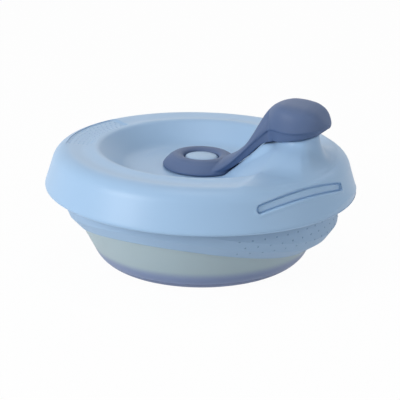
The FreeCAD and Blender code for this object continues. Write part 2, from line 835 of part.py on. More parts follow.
NODES = {
    "bowl": bowl,
    "base_pad": base_pad,
    "grip_band": grip_band,
    "lid_collar": lid_collar,
    "rim_seal": rim_seal,
    "tether_button": tether_button,
    "tether_ring": tether_ring,
    "spout_cap": spout_cap,
}
failed = [item.Name for item in doc.Objects if "Invalid" in item.State or "Error" in item.State]
if failed:
    raise RuntimeError("failed objects: " + ", ".join(failed))
for name, item in NODES.items():
    if item.Shape.isNull() or not item.Shape.isValid() or len(item.Shape.Solids) != 1:
        raise RuntimeError("not one valid solid: " + name)

os.makedirs("parts", exist_ok=True)
for name, item in NODES.items():
    item.Label = name
    item.Shape.exportStep("parts/{}.step".format(name))
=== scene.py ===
"""Looks of the baby bowl with a collar lid, a spout and a tethered cap."""

import json
import math

import bmesh
import bpy
import numpy as np
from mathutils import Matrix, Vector
from mathutils.geometry import delaunay_2d_cdt


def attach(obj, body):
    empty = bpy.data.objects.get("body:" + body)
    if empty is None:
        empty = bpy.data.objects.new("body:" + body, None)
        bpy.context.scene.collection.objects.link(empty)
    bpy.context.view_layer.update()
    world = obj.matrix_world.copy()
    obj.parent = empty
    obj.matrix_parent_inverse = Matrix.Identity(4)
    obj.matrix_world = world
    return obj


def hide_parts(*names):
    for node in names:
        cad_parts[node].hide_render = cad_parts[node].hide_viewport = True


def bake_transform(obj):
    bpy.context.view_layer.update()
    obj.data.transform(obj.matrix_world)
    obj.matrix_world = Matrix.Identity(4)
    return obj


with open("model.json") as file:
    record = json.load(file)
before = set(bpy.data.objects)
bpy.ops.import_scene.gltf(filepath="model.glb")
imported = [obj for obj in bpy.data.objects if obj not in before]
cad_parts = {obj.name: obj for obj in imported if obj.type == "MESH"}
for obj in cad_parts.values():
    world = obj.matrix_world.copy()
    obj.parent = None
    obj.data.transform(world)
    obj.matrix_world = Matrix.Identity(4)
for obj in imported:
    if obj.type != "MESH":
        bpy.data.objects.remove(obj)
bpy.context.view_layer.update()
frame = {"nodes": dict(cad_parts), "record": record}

MM = 0.001
WHITE = (1.0, 1.0, 1.0, 1.0)

# Viewpoint of the photograph
CAMERA_AZIMUTH = 22.5
CAMERA_ELEVATION = 16.78
CAMERA_DISTANCE = 550.0 * MM
CAMERA_AIM = Vector((0.0, 0.0, 40.0 * MM))
CAMERA_LENS = 110.0
CAMERA_SENSOR = 36.0
CAMERA_SHIFT = (-1.8 / 400.0, -28.8 / 400.0)
CAMERA_NEAR = 10.0 * MM

# Studio, in metres and watts: place and power of each softbox, and the pale room and floor
SOFTBOXES = {
    "key_softbox": ((-0.5, -0.75, 0.4), 6.0),
    "top_softbox": ((0.0, 0.0, 0.95), 1.6),
    "fill_softbox": ((0.8, -0.1, 0.4), 1.4),
    "back_softbox": ((-0.3, 0.8, 0.5), 0.5),
}
SOFTBOX_WIDTH = 0.45
SOFTBOX_AIM = Vector((0.0, 0.0, 0.045))
ROOM_COLOUR, ROOM_STRENGTH = (0.86, 0.9, 0.95, 1.0), 0.25
FLOOR_HALF = 6.0
FLOOR_COLOUR, FLOOR_ROUGHNESS, FLOOR_SHINE = (0.9, 0.9, 0.9, 1.0), 0.9, 0.1
FLOOR_WHITE_SHARE = 0.97


class Wiring:
    """Short ways to place and join the nodes of one tree."""

    def __init__(self, tree):
        self.tree = tree

    def join(self, source, target):
        self.tree.links.new(source, target)

    def node(self, kind, inputs=None, **settings):
        """A new node; each of its inputs gets a socket to join or a constant."""
        made = self.tree.nodes.new(kind)
        for key, value in settings.items():
            setattr(made, key, value)
        for key, value in (inputs or {}).items():
            if isinstance(value, bpy.types.NodeSocket):
                self.join(value, made.inputs[key])
            else:
                made.inputs[key].default_value = value
        return made

    def math(self, operation, first, second=0.0):
        """The result of one sum; each side is a socket or a number."""
        return self.node("ShaderNodeMath", {0: first, 1: second}, operation=operation).outputs[0]


def new_finish(name):
    """A material with nodes, its wiring and its principled shader."""
    finish = bpy.data.materials.new(name)
    finish.use_nodes = True
    return finish, Wiring(finish.node_tree), finish.node_tree.nodes["Principled BSDF"]


def set_camera():
    """The camera at the photograph's viewing angle."""
    azimuth = math.radians(CAMERA_AZIMUTH)
    elevation = math.radians(CAMERA_ELEVATION)
    toward = Vector((
        math.sin(azimuth) * math.cos(elevation),
        -math.cos(azimuth) * math.cos(elevation),
        math.sin(elevation)))
    camera = bpy.data.objects.new("camera", bpy.data.cameras.new("camera"))
    camera.location = CAMERA_AIM + CAMERA_DISTANCE * toward
    camera.rotation_euler = (-toward).to_track_quat("-Z", "Y").to_euler()
    camera.data.lens = CAMERA_LENS
    camera.data.sensor_width = CAMERA_SENSOR
    camera.data.shift_x, camera.data.shift_y = CAMERA_SHIFT
    camera.data.clip_start = CAMERA_NEAR
    bpy.context.collection.objects.link(camera)
    bpy.context.scene.camera = camera


def add_softbox(name, place, power):
    """One square studio softbox."""
    light = bpy.data.lights.new(name, "AREA")
    light.energy = power
    light.size = SOFTBOX_WIDTH
    softbox = bpy.data.objects.new(name, light)
    softbox.location = place
    softbox.rotation_euler = (SOFTBOX_AIM - Vector(place)).to_track_quat("-Z", "Y").to_euler()
    bpy.context.collection.objects.link(softbox)


def background_rays(w):
    """1 for the rays that see the background: from the camera, by reflection and through the frosted wall."""
    path = w.node("ShaderNodeLightPath").outputs
    direct = w.math("MAXIMUM", path["Is Camera Ray"], path["Is Glossy Ray"])
    return w.math("MAXIMUM", direct, path["Is Transmission Ray"])


def set_light():
    """Soft studio light from the upper left, and an even pale surround."""
    scene = bpy.context.scene
    scene.view_settings.view_transform = "Standard"
    scene.world = bpy.data.worlds.new("studio")
    scene.world.use_nodes = True
    scene.world.node_tree.nodes.clear()
    w = Wiring(scene.world.node_tree)
    room = w.node("ShaderNodeBackground", {"Color": ROOM_COLOUR, "Strength": ROOM_STRENGTH})
    backdrop = w.node("ShaderNodeBackground", {"Color": WHITE, "Strength": 1.0})
    mix = w.node("ShaderNodeMixShader", {0: background_rays(w), 1: room.outputs[0], 2: backdrop.outputs[0]})
    w.node("ShaderNodeOutputWorld", {"Surface": mix.outputs[0]})
    for name, (place, power) in SOFTBOXES.items():
        add_softbox(name, place, power)


def add_floor():
    """A plain pale floor that keeps the bowl's shadow."""
    h = FLOOR_HALF
    mesh = bpy.data.meshes.new("floor")
    mesh.from_pydata([(-h, -h, 0), (h, -h, 0), (h, h, 0), (-h, h, 0)], [], [(0, 1, 2, 3)])
    floor = bpy.data.objects.new("floor", mesh)
    bpy.context.collection.objects.link(floor)
    finish, w, base = new_finish("floor_white")
    base.inputs["Base Color"].default_value = FLOOR_COLOUR
    base.inputs["Roughness"].default_value = FLOOR_ROUGHNESS
    base.inputs["Specular IOR Level"].default_value = FLOOR_SHINE
    white = w.node("ShaderNodeEmission", {"Color": WHITE, "Strength": 1.0})
    share = w.math("MULTIPLY", background_rays(w), FLOOR_WHITE_SHARE)
    mix = w.node("ShaderNodeMixShader", {0: share, 1: base.outputs[0], 2: white.outputs[0]})
    w.join(mix.outputs[0], finish.node_tree.nodes["Material Output"].inputs["Surface"])
    mesh.materials.append(finish)


# The lid's own frame leans to the spout
LID_TILT = math.radians(1.6)
LID_SHIFT = 0.5
LID_EDGE = 34.2

# Lid, in millimetres: radius, height and round of each corner of its turned outline
LID_OUTLINE = [
    (4.2, 8.3), (33.0, 8.3, 12.0), (46.5, 17.7, 4.6), (52.5, 16.8, 14.0), (64.4, 18.3, 7.8),
    (70.1, 0.0, 1.1), (67.7, 0.0, 1.0), (67.35, 1.6),
]
LID_STEP = 1.0
LID_TURN_STEP = 1.5
WALL_REACH, WALL_FOOT, WALL_TOP = 63.0, 5.5, 16.5
WALL_PARTS = 5

# Spout: circles that widen and drift inwards as they fall
SPOUT_X = 45.5
SPOUT_TOP = 28.0
SPOUT_FALL = 20.5
SPOUT_RADIUS = 8.5
SPOUT_SPREAD = 15.5
SPOUT_SETBACK = 3.7
SPOUT_POWER = 1.7
SPOUT_BLEND = 6.0
SPOUT_REACH, SPOUT_EDGE = 0.77, 66.0
SPOUT_RIM = [(5.48, 22.0), (5.48, 27.2), (5.62, 27.7), (6.05, 28.0), (7.7, 28.0), (8.2, 27.85), (8.46, 27.55)]
NECK_FROM, NECK_TO = 0.05, 0.5
NECK_RINGS, FLARE_RINGS = 18, 24
SPOUT_TURN_STEP = 2.5
MOUTH_SLOPE = 0.2
LEAN_ABOVE = 24.0
MOUTH_FADE = 0.35

# Seam between the spout's rings and the lid's rows
SEAM_GAP = 0.03
SEAM_BEND = 2e-5
SEAM_SLIVER = 1e-3

# Recess on the collar's side
SLOT_MIDDLE = -26.25
SLOT_HALF_LENGTH = 25.5
SLOT_HALF_WIDTH = 1.85
SLOT_DEPTH, SLOT_EDGE = 0.9, (-0.3, 0.1)
SLOT_GROOVE, SLOT_GROOVE_IN, SLOT_GROOVE_WIDTH = 0.6, 0.42, 0.24
SLOT_LIP, SLOT_LIP_OUT, SLOT_LIP_WIDTH = 0.16, 0.75, 0.55
SLOT_BELLY = 0.3
SLOT_ROUND_LOW, SLOT_ROUND_HIGH = 1.65, 0.75
SLOT_PEAK, SLOT_PEAK_TURN = 12.85, -25.7
SLOT_BOW, SLOT_BOW_TURN = 2.65, 20.0
SLOT_SECTOR, SLOT_TURN_STEP = (-54.0, 1.0), 0.25
SLOT_REACH, SLOT_FOOT = 62.0, 3.0

# Flank that runs from the spout's neck out to the collar's shoulder
SKIRT_NECK, SKIRT_REACH = 9.3, 28.0
SKIRT_LOW, SKIRT_RISE, SKIRT_POWER = 17.2, 7.6, 1.5
SKIRT_AHEAD, SKIRT_ASIDE = 0.35, (0.3, 1.0)
SKIRT_CREST = 61.5
SKIRT_EDGE, SKIRT_EDGE_FALL = 60.5, 1.5
SKIRT_BLEND = 2.4
SHOULDER_DROP, SHOULDER_MIDDLE, SHOULDER_WIDTH = 1.1, 60.5, 3.2
SHOULDER_FROM, SHOULDER_TO = (-52.0, -36.0), (-6.0, 10.0)

# Ramp under the strap: distance from the spout's axis and height
RAMP = [
    (8.0, 24.6), (11.5, 24.4), (14.3, 23.9), (16.4, 22.5), (19.9, 18.9), (25.2, 13.9),
    (28.5, 11.2), (34.0, 7.0), (40.0, -30.0),
]
RAMP_RING, RAMP_RING_DROP = (16.6, 18.2), 6.0
RAMP_SIDE = (5.0, 9.0)
RAMP_SLOPE, RAMP_TOP = 0.64, 24.5
RIDGE = 8.6

# Thumb pad opposite the spout
THUMB_INNER, THUMB_OUTER = 49.0, 60.5
THUMB_HALF_ANGLE = 23.0
THUMB_DEPTH, THUMB_EDGE = 0.65, (-0.5, 0.3)
THUMB_ROUND = 2.0
THUMB_SECTOR, THUMB_TURN_STEP = 152.0, 0.8
DECK_INNER, DECK_OUTER, DECK_SECTOR = 47.0, 62.5, 150.0

# Faces of the solid lid that aren't its hidden side: how near they lie to the outline, and where
OUTLINE_STEP = 0.4
SKIN_GAP, SLOT_SKIN_GAP = 0.9, 2.0
SLOT_SKIN_REACH, SLOT_SKIN_FOOT = 64.0, 5.0
COLLAR_REACH = 60.0
FLARE_INNER, FLARE_OUTER, FLARE_FOOT, FLARE_SINK = 5.6, 28.0, 8.0, 1.0
TOP_FOOT, TOP_FACING = 7.5, 0.25
FACES_IN, FACES_DOWN, FACES_UP = -0.3, -0.3, 0.3
UPRIGHT = (-0.25, 0.05)

# Meshes: doubles within these gaps, in metres, are merged, and edges over the angle stay sharp
MERGE_GAP, HELPER_GAP = 2e-6, 1e-6
SHARP_ANGLE, SMOOTH_ALL = 40.0, 180.0

# Lines of points are eased over this reach either way
LINE_EASE, LINE_SAMPLES = 1.3, 9


def rounded_course(corners, step):
    """Points along a run of straight lines, with the corners (r, z, round) rounded."""
    points = []
    last = len(corners) - 1
    for i, corner in enumerate(corners):
        here = np.array(corner[:2], float)
        if i in (0, last) or len(corner) < 3:
            points.append(here)
            continue
        back = np.array(corners[i - 1][:2], float) - here
        ahead = np.array(corners[i + 1][:2], float) - here
        back /= np.linalg.norm(back)
        ahead /= np.linalg.norm(ahead)
        half = 0.5 * math.acos(float(np.clip(back @ ahead, -1.0, 1.0)))
        radius = corner[2]
        middle = here + (back + ahead) / np.linalg.norm(back + ahead) * radius / math.sin(half)
        arrive = here + back * radius / math.tan(half) - middle
        sweep = math.pi - 2.0 * half
        side = math.copysign(1.0, back[0] * ahead[1] - back[1] * ahead[0])
        count = max(4, round(sweep * radius / step))
        for t in np.linspace(0.0, -side * sweep, count + 1):
            turn = np.array([[math.cos(t), -math.sin(t)], [math.sin(t), math.cos(t)]])
            points.append(middle + turn @ arrive)
    return divide_course(points, step)


def divide_course(points, step):
    """The same course with no stretch longer than the step."""
    course = [points[0]]
    for a, b in zip(points, points[1:]):
        length = float(np.linalg.norm(b - a))
        if length < 1e-6:
            continue
        count = max(1, math.ceil(length / step))
        course.extend(a + (b - a) * k / count for k in range(1, count + 1))
    return np.array(course)


def lid_to_world(points):
    """Millimetres in the lid's frame to metres in the part's frame."""
    p = np.asarray(points, float)
    c, s = math.cos(LID_TILT), math.sin(LID_TILT)
    x = p[..., 0] * c + p[..., 2] * s - LID_SHIFT
    z = p[..., 2] * c - p[..., 0] * s + LID_EDGE
    return MM * np.stack([x, p[..., 1], z], axis=-1)


def world_to_lid(points):
    """Metres in the part's frame to millimetres in the lid's frame."""
    p = np.asarray(points, float) / MM
    c, s = math.cos(LID_TILT), math.sin(LID_TILT)
    x, z = p[..., 0] + LID_SHIFT, p[..., 2] - LID_EDGE
    return np.stack([x * c - z * s, p[..., 1], x * s + z * c], axis=-1)


def smooth_step(low, high, value):
    """0 below low, 1 above high, and a smooth rise between."""
    t = np.clip((value - low) / (high - low), 0.0, 1.0)
    return t * t * (3.0 - 2.0 * t)


def smooth_max(a, b, width):
    """The larger of two heights, with a soft fillet where they meet."""
    near = np.maximum(width - np.abs(a - b), 0.0)
    return np.maximum(a, b) + near * near / (4.0 * width)


def line_at(points, x):
    """Height of a line of points, eased over its corners."""
    line = np.array(points)
    shifts = np.linspace(-LINE_EASE, LINE_EASE, LINE_SAMPLES)
    return np.mean([np.interp(x + s, line[:, 0], line[:, 1]) for s in shifts], axis=0)


def spout_share(x, y):
    """How far out on the spout's flare a point lies: 0 at its mouth, 1 at its foot."""
    ahead = x - SPOUT_X
    a = SPOUT_SPREAD ** 2 - SPOUT_SETBACK ** 2
    b = 2.0 * (SPOUT_SPREAD * SPOUT_RADIUS - SPOUT_SETBACK * ahead)
    c = ahead ** 2 + y ** 2 - SPOUT_RADIUS ** 2
    return np.maximum((np.sqrt(np.maximum(b * b + 4.0 * a * c, 0.0)) - b) / (2.0 * a), 0.0)


def spout_height(x, share):
    """Height of the spout's flare, with the lean of its mouth."""
    return SPOUT_TOP - SPOUT_FALL * share ** (1.0 / SPOUT_POWER) + mouth_lean(x, share)


def mouth_lean(x, share):
    """How much the spout's mouth rises outwards; the rise fades down the neck."""
    return MOUTH_SLOPE * (x - SPOUT_X) * (1.0 - smooth_step(0.0, MOUTH_FADE, share))


def outer_flank(ahead, y):
    """Height of the flank that falls from the spout's neck to the collar's shoulder."""
    span, turn = np.hypot(ahead, y), np.arctan2(y, ahead)
    edge = np.sqrt(SKIRT_CREST ** 2 - (SPOUT_X * np.sin(turn)) ** 2) - SPOUT_X * np.cos(turn)
    share = (span - SKIRT_NECK) / (np.minimum(edge, SKIRT_REACH) - SKIRT_NECK)
    aside = SKIRT_AHEAD + (1.0 - SKIRT_AHEAD) * smooth_step(*SKIRT_ASIDE, np.abs(turn))
    return SKIRT_LOW + SKIRT_RISE * aside * np.maximum(1.0 - share, 0.0) ** SKIRT_POWER


def skirt_height(x, y):
    """Height of the flank round the spout, with its ramp to the dish behind a ridge across the lid."""
    ahead = x - SPOUT_X
    beyond = np.maximum(np.hypot(x, y) - SKIRT_EDGE, 0.0)
    behind = np.maximum(-ahead - RIDGE, 0.0)
    fall = line_at(RAMP, RIDGE) - line_at(RAMP, RIDGE + behind)
    straight = RAMP_SLOPE * behind
    drop = straight + (fall - straight) * (1.0 - smooth_step(*RAMP_SIDE, np.abs(y)))
    clear = RAMP_RING_DROP * (1.0 - smooth_step(*RAMP_RING, np.hypot(x, y))) * (behind > 0.0)
    top = outer_flank(np.maximum(ahead, -RIDGE), y)
    capped = np.where(behind > 0.0, np.minimum(top, RAMP_TOP), top)
    return capped - drop - clear - SKIRT_EDGE_FALL * beyond ** 2


def shoulder_drop(x, y):
    """How much lower the collar's shoulder is beside the spout, above the recess."""
    turn = np.degrees(np.arctan2(y, x))
    near = smooth_step(*SHOULDER_FROM, turn) * (1.0 - smooth_step(*SHOULDER_TO, turn))
    return SHOULDER_DROP * near * np.exp(-((np.hypot(x, y) - SHOULDER_MIDDLE) / SHOULDER_WIDTH) ** 2)


def lid_top(x, y, base, flare):
    """Height of the lid's top: its turned outline, the spout's flare and the flank round it."""
    flank = smooth_max(base, skirt_height(x, y), SKIRT_BLEND) - shoulder_drop(x, y)
    return smooth_max(flank, flare, SPOUT_BLEND)


def rounded_box(u, v, half_u, half_v, corner):
    """Signed distance to a box with rounded corners."""
    qu, qv = np.abs(u) - half_u + corner, np.abs(v) - half_v + corner
    outside = np.hypot(np.maximum(qu, 0.0), np.maximum(qv, 0.0))
    return outside + np.minimum(np.maximum(qu, qv), 0.0) - corner


def slot_sink(angle, radius, height):
    """How deep the recess on the collar's side is at a point of the wall."""
    u = np.radians(angle - SLOT_MIDDLE) * radius
    belly = SLOT_BELLY * np.maximum(1.0 - (u / SLOT_HALF_LENGTH) ** 2, 0.0)
    v = height - SLOT_PEAK - belly + SLOT_BOW * ((angle - SLOT_PEAK_TURN) / SLOT_BOW_TURN) ** 2
    corner = np.where(u < 0.0, SLOT_ROUND_LOW, SLOT_ROUND_HIGH)
    away = rounded_box(u, v, SLOT_HALF_LENGTH, SLOT_HALF_WIDTH + belly, corner)
    sink = SLOT_DEPTH * (1.0 - smooth_step(*SLOT_EDGE, away))
    groove = SLOT_GROOVE * np.exp(-((away + SLOT_GROOVE_IN) / SLOT_GROOVE_WIDTH) ** 2)
    lip = SLOT_LIP * np.exp(-((away - SLOT_LIP_OUT) / SLOT_LIP_WIDTH) ** 2) * (v < 0.0)
    return sink + groove - lip


def thumb_sink(angle, radius):
    """How deep the thumb pad is at a point of the deck."""
    turn = (angle + 360.0) % 360.0 - 180.0
    u = np.radians(turn) * radius
    v = radius - 0.5 * (THUMB_INNER + THUMB_OUTER)
    half_u = math.radians(THUMB_HALF_ANGLE) * radius
    away = rounded_box(u, v, half_u, 0.5 * (THUMB_OUTER - THUMB_INNER), THUMB_ROUND)
    return THUMB_DEPTH * (1.0 - smooth_step(*THUMB_EDGE, away))


def lid_rows():
    """Rows of the lid's outline from the dish to the collar's edge, finer where the recess is."""
    course = rounded_course(LID_OUTLINE, LID_STEP)
    rows = [course[0]]
    for a, b in zip(course, course[1:]):
        middle = 0.5 * (a + b)
        fine = middle[0] > WALL_REACH and WALL_FOOT < middle[1] < WALL_TOP
        parts = WALL_PARTS if fine else 1
        rows.extend(a + (b - a) * k / parts for k in range(1, parts + 1))
    return np.array(rows)


def lid_angles():
    """Directions round the lid in degrees, finer at the recess and the thumb pad."""
    stretches = [
        (-180.0, -THUMB_SECTOR, THUMB_TURN_STEP), (-THUMB_SECTOR, SLOT_SECTOR[0], LID_TURN_STEP),
        (*SLOT_SECTOR, SLOT_TURN_STEP), (SLOT_SECTOR[1], THUMB_SECTOR, LID_TURN_STEP),
        (THUMB_SECTOR, 180.0, THUMB_TURN_STEP),
    ]
    return np.unique(np.round(np.concatenate([np.arange(*stretch) for stretch in stretches]), 4))


def build_lid_top():
    """The outside of the lid: turned rows round the axis, rings round the spout, and a seam between."""
    rows, angles = lid_rows(), lid_angles()
    count_r, count_a = len(rows), len(angles)
    ahead = np.gradient(rows, axis=0)
    ahead /= np.linalg.norm(ahead, axis=1)[:, None]
    normal = np.stack([-ahead[:, 1], ahead[:, 0]], axis=1)
    radius = np.repeat(rows[:, :1], count_a, axis=1)
    height = np.repeat(rows[:, 1:], count_a, axis=1)
    turn = np.repeat(angles[None, :], count_r, axis=0)
    x, y = radius * np.cos(np.radians(turn)), radius * np.sin(np.radians(turn))
    share = spout_share(x, y)
    on_top = (np.arange(count_r) <= int(np.argmax(rows[:, 0])))[:, None]
    shown = np.where(on_top, lid_top(x, y, height, spout_height(x, share)), height)
    in_sector = (turn > SLOT_SECTOR[0]) & (turn < SLOT_SECTOR[1])
    wall = (radius > SLOT_REACH) & (height > SLOT_FOOT) & on_top & in_sector
    sink = np.where(wall, slot_sink(turn, radius, height), 0.0)
    deck = (radius > DECK_INNER) & (radius < DECK_OUTER) & on_top & (np.abs(turn) > DECK_SECTOR)
    sink = np.where(deck, thumb_sink(turn, radius), sink)
    scale = 1.0 - sink * normal[:, :1] / np.maximum(radius, 1.0)
    grid = np.stack([x * scale, y * scale, shown - sink * normal[:, 1:]], axis=-1)

    taken = (share < SPOUT_REACH + SEAM_GAP) & on_top & (radius < SPOUT_EDGE)
    corner = taken | np.roll(taken, -1, axis=1)
    gone = corner[:-1] | corner[1:]
    points = [tuple(p) for p in grid.reshape(-1, 3)]
    faces, rim_edges = [], []
    for i in range(count_r - 1):
        for k in range(count_a):
            n = (k + 1) % count_a
            a, b, c, d = i * count_a + k, (i + 1) * count_a + k, (i + 1) * count_a + n, i * count_a + n
            if not gone[i, k]:
                faces.append((a, b, c, d))
                continue
            if i > 0 and not gone[i - 1, k]:
                rim_edges.append((a, d))
            if not gone[i + 1, k]:
                rim_edges.append((b, c))
            if not gone[i, k - 1]:
                rim_edges.append((a, b))
            if not gone[i, n]:
                rim_edges.append((d, c))
    last_ring = add_spout_rings(rows, points, faces)
    stitch_spout(points, faces, rim_edges, last_ring, rows, angles, gone)
    return points, faces


def add_spout_rings(rows, points, faces):
    """Rings from the spout's bore over its rim and down its flare. Gives the outermost ring."""
    crest = int(np.argmax(rows[:, 0]))
    flare_to = SPOUT_REACH ** (1.0 / SPOUT_POWER)
    neck, flare = np.linspace(NECK_FROM, NECK_TO, NECK_RINGS), np.linspace(NECK_TO, flare_to, FLARE_RINGS)[1:]
    turns = np.radians(np.arange(0.0, 360.0, SPOUT_TURN_STEP))
    rings = []
    for r, z in SPOUT_RIM:
        rings.append((SPOUT_X, r, z + mouth_lean(SPOUT_X + r * np.cos(turns), 0.0) * (z > LEAN_ABOVE)))
    for share in np.concatenate([neck, flare]) ** SPOUT_POWER:
        middle, r = SPOUT_X - SPOUT_SETBACK * share, SPOUT_RADIUS + SPOUT_SPREAD * share
        x, y = middle + r * np.cos(turns), r * np.sin(turns)
        base = np.interp(np.hypot(x, y), rows[:crest, 0], rows[:crest, 1])
        rings.append((middle, r, lid_top(x, y, base, spout_height(x, share))))
    start = len(points)
    size = len(turns)
    for middle, r, z in rings:
        points.extend(zip(middle + r * np.cos(turns), r * np.sin(turns), z))
    for j in range(len(rings) - 1):
        for k in range(size):
            n = (k + 1) % size
            a, b = start + j * size, start + (j + 1) * size
            faces.append((a + k, b + k, b + n, a + n))
    return [start + (len(rings) - 1) * size + k for k in range(size)]


def stitch_spout(points, faces, rim_edges, last_ring, rows, angles, gone):
    """Triangles between the spout's last ring and the hole left for it in the turned rows."""
    seam = rim_edges + [(last_ring[k - 1], last_ring[k]) for k in range(len(last_ring))]
    used = sorted({v for edge in seam for v in edge})
    place = {v: k for k, v in enumerate(used)}
    edges = [(place[a], place[b]) for a, b in seam]
    centre = Vector((SPOUT_X - SPOUT_SETBACK * SPOUT_REACH, 0.0))
    flat = []
    for v in used:
        aside = Vector(points[v][:2]) - centre
        flat.append(centre + aside * (1.0 + SEAM_BEND * aside.length_squared))
    _, _, triangles, origin, _, _ = delaunay_2d_cdt(flat, edges, [], 0, 1e-6)
    ring = set(last_ring)
    for triangle in triangles:
        corners = tuple(used[origin[v][0]] for v in triangle)
        on_ring = sum(v in ring for v in corners)
        if on_ring == 3:
            continue
        if on_ring == 0:
            a, b, c = (Vector(points[v][:2]) for v in corners)
            if abs((b - a).cross(c - a)) < SEAM_SLIVER:
                continue
            middle = (a + b + c) / 3.0
            i = int(np.searchsorted(rows[:int(np.argmax(rows[:, 0])), 0], middle.length)) - 1
            turn = math.degrees(math.atan2(middle.y, middle.x))
            k = int(np.searchsorted(angles, turn, side="right")) - 1
            if not gone[min(i, len(gone) - 1), k]:
                continue
        faces.append(corners)


def node_triangles(name):
    """Corner points of a CAD node's triangles, in metres."""
    mesh = frame["nodes"][name].data
    mesh.calc_loop_triangles()
    spots = np.empty(3 * len(mesh.vertices))
    mesh.vertices.foreach_get("co", spots)
    corners = np.empty(3 * len(mesh.loop_triangles), np.int64)
    mesh.loop_triangles.foreach_get("vertices", corners)
    return spots.reshape(-1, 3)[corners.reshape(-1, 3)]


def lid_underside():
    """The lid's hidden side, taken from its solid: seat, plug wall, throat and bore."""
    corners = world_to_lid(node_triangles("lid_collar"))
    middle = corners.mean(axis=1)
    facing = np.cross(corners[:, 1] - corners[:, 0], corners[:, 2] - corners[:, 0])
    facing /= np.maximum(np.linalg.norm(facing, axis=1), 1e-12)[:, None]
    up, height = facing[:, 2], middle[:, 2]
    reach = np.hypot(middle[:, 0], middle[:, 1])
    radial = (middle[:, :2] * facing[:, :2]).sum(axis=1) / np.maximum(reach, 1e-6)
    aside = middle[:, :2] - np.array([SPOUT_X, 0.0])
    span = np.hypot(aside[:, 0], aside[:, 1])
    outward = (aside * facing[:, :2]).sum(axis=1) / np.maximum(span, 1e-6)

    turn = np.degrees(np.arctan2(middle[:, 1], middle[:, 0]))
    in_sector = (turn > SLOT_SECTOR[0]) & (turn < SLOT_SECTOR[1])
    slot = (reach > SLOT_SKIN_REACH) & in_sector & (height > SLOT_SKIN_FOOT)
    inner = (up < FACES_DOWN) & ~slot | (radial < FACES_IN) & (reach > COLLAR_REACH)
    inner |= (span < FLARE_OUTER) & (outward < FACES_IN) & (up < UPRIGHT[1])
    course = rounded_course(LID_OUTLINE, OUTLINE_STEP)
    gap = np.array([np.min(np.hypot(course[:, 0] - r, course[:, 1] - z)) for r, z in zip(reach, height)])
    outer = (gap < np.where(slot, SLOT_SKIN_GAP, SKIN_GAP)) & ~inner

    shown = (up > FACES_UP) | (up > UPRIGHT[0]) & (outward > 0.0)
    deck = np.interp(reach, np.maximum.accumulate(course[:, 0]), course[:, 1])
    raised = height > np.maximum(deck - FLARE_SINK, FLARE_FOOT)
    flare = (span > FLARE_INNER) & (span < FLARE_OUTER) & raised & shown
    upper = (up > TOP_FACING) & (height > TOP_FOOT)
    return lid_to_world(corners[~(outer | flare | upper)])


def merged_mesh(name, points, faces, gap, outward=False):
    """A mesh with its doubles merged and, where asked, its faces turned outwards."""
    mesh = bpy.data.meshes.new(name)
    mesh.from_pydata([tuple(p) for p in points], [], faces)
    shape = bmesh.new()
    shape.from_mesh(mesh)
    bmesh.ops.remove_doubles(shape, verts=shape.verts, dist=gap)
    if outward:
        bmesh.ops.recalc_face_normals(shape, faces=shape.faces)
    shape.to_mesh(mesh)
    shape.free()
    return mesh


def link_piece(name, mesh, material, sharp=SHARP_ANGLE):
    """An object for a mesh, in one finish, with its edges smooth up to an angle."""
    mesh.name = name
    mesh.shade_smooth()
    mesh.set_sharp_from_angle(angle=math.radians(sharp))
    mesh.materials.clear()
    mesh.materials.append(material)
    piece = bpy.data.objects.new(name, mesh)
    bpy.context.collection.objects.link(piece)
    return piece


def build_lid(material):
    """The collar lid with its flared spout, recess and thumb pad."""
    points, faces = build_lid_top()
    points = list(lid_to_world(points))
    hidden = lid_underside()
    start = len(points)
    points.extend(hidden.reshape(-1, 3))
    faces = list(faces) + [(start + 3 * k, start + 3 * k + 1, start + 3 * k + 2) for k in range(len(hidden))]
    lid = link_piece("collar_lid", merged_mesh("collar_lid", points, faces, MERGE_GAP), material)
    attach(lid, "lid")
    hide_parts("lid_collar")
    return lid


# Soft tether, in millimetres of the part's frame: its lines along X, seen from the side
TETHER_TOP = [
    (8.6, 46.6), (11.0, 48.0), (14.0, 49.5), (17.5, 51.6), (21.9, 55.6), (25.4, 61.4), (28.1, 66.5),
    (30.9, 71.0), (34.1, 74.3), (37.0, 75.7), (41.0, 76.3), (46.0, 75.9), (51.0, 75.0), (55.0, 73.2),
    (57.5, 70.4), (59.2, 66.8),
]
TETHER_CREASE = [
    (8.6, 43.2), (12.0, 44.4), (16.0, 46.9), (20.0, 51.0), (24.0, 55.2), (28.0, 59.3), (32.0, 63.0),
    (35.0, 65.0), (38.0, 65.4), (42.0, 65.2), (46.0, 65.2), (50.0, 65.6), (54.0, 66.1), (57.0, 66.5),
    (59.2, 66.7),
]
TETHER_UNDER = [
    (8.6, 42.9), (12.0, 43.2), (16.0, 44.8), (20.0, 47.7), (24.0, 51.3), (28.0, 55.3), (30.0, 57.0),
    (32.0, 57.7), (36.0, 58.7), (40.0, 60.0), (45.0, 61.2), (50.0, 62.2), (54.0, 63.0), (56.0, 63.5),
    (57.5, 64.8), (59.2, 66.3),
]
STRAP_WIDTHS = [
    (8.0, 14.4), (12.0, 12.2), (16.0, 9.7), (20.0, 7.3), (24.0, 5.7), (28.0, 5.0), (32.0, 4.75), (60.0, 4.75),
]
STRAP_START = 8.8
HEAD_X, HEAD_RADIUS = 46.0, 13.2
HEAD_FILLET, HEAD_FILLET_LEAST, HEAD_FILLET_SPAN = 8.0, 0.01, (24.0, 35.0)
UNDER_X, UNDER_RADIUS = 45.7, 10.6
UNDER_STRAP, UNDER_MOST, UNDER_FILLET = 0.85, 0.9, 3.0
STRAP_FULLNESS, HEAD_FULLNESS, FULLNESS_SPAN = 2.1, 4.1, (32.0, 41.0)
LIP_DEPTH, LIP_STRAP, LIP_SPAN = 1.3, 0.35, (28.0, 37.0)
LIP_DROP, LIP_INNER = 0.6, 0.5
LOFT_STEP = 0.5
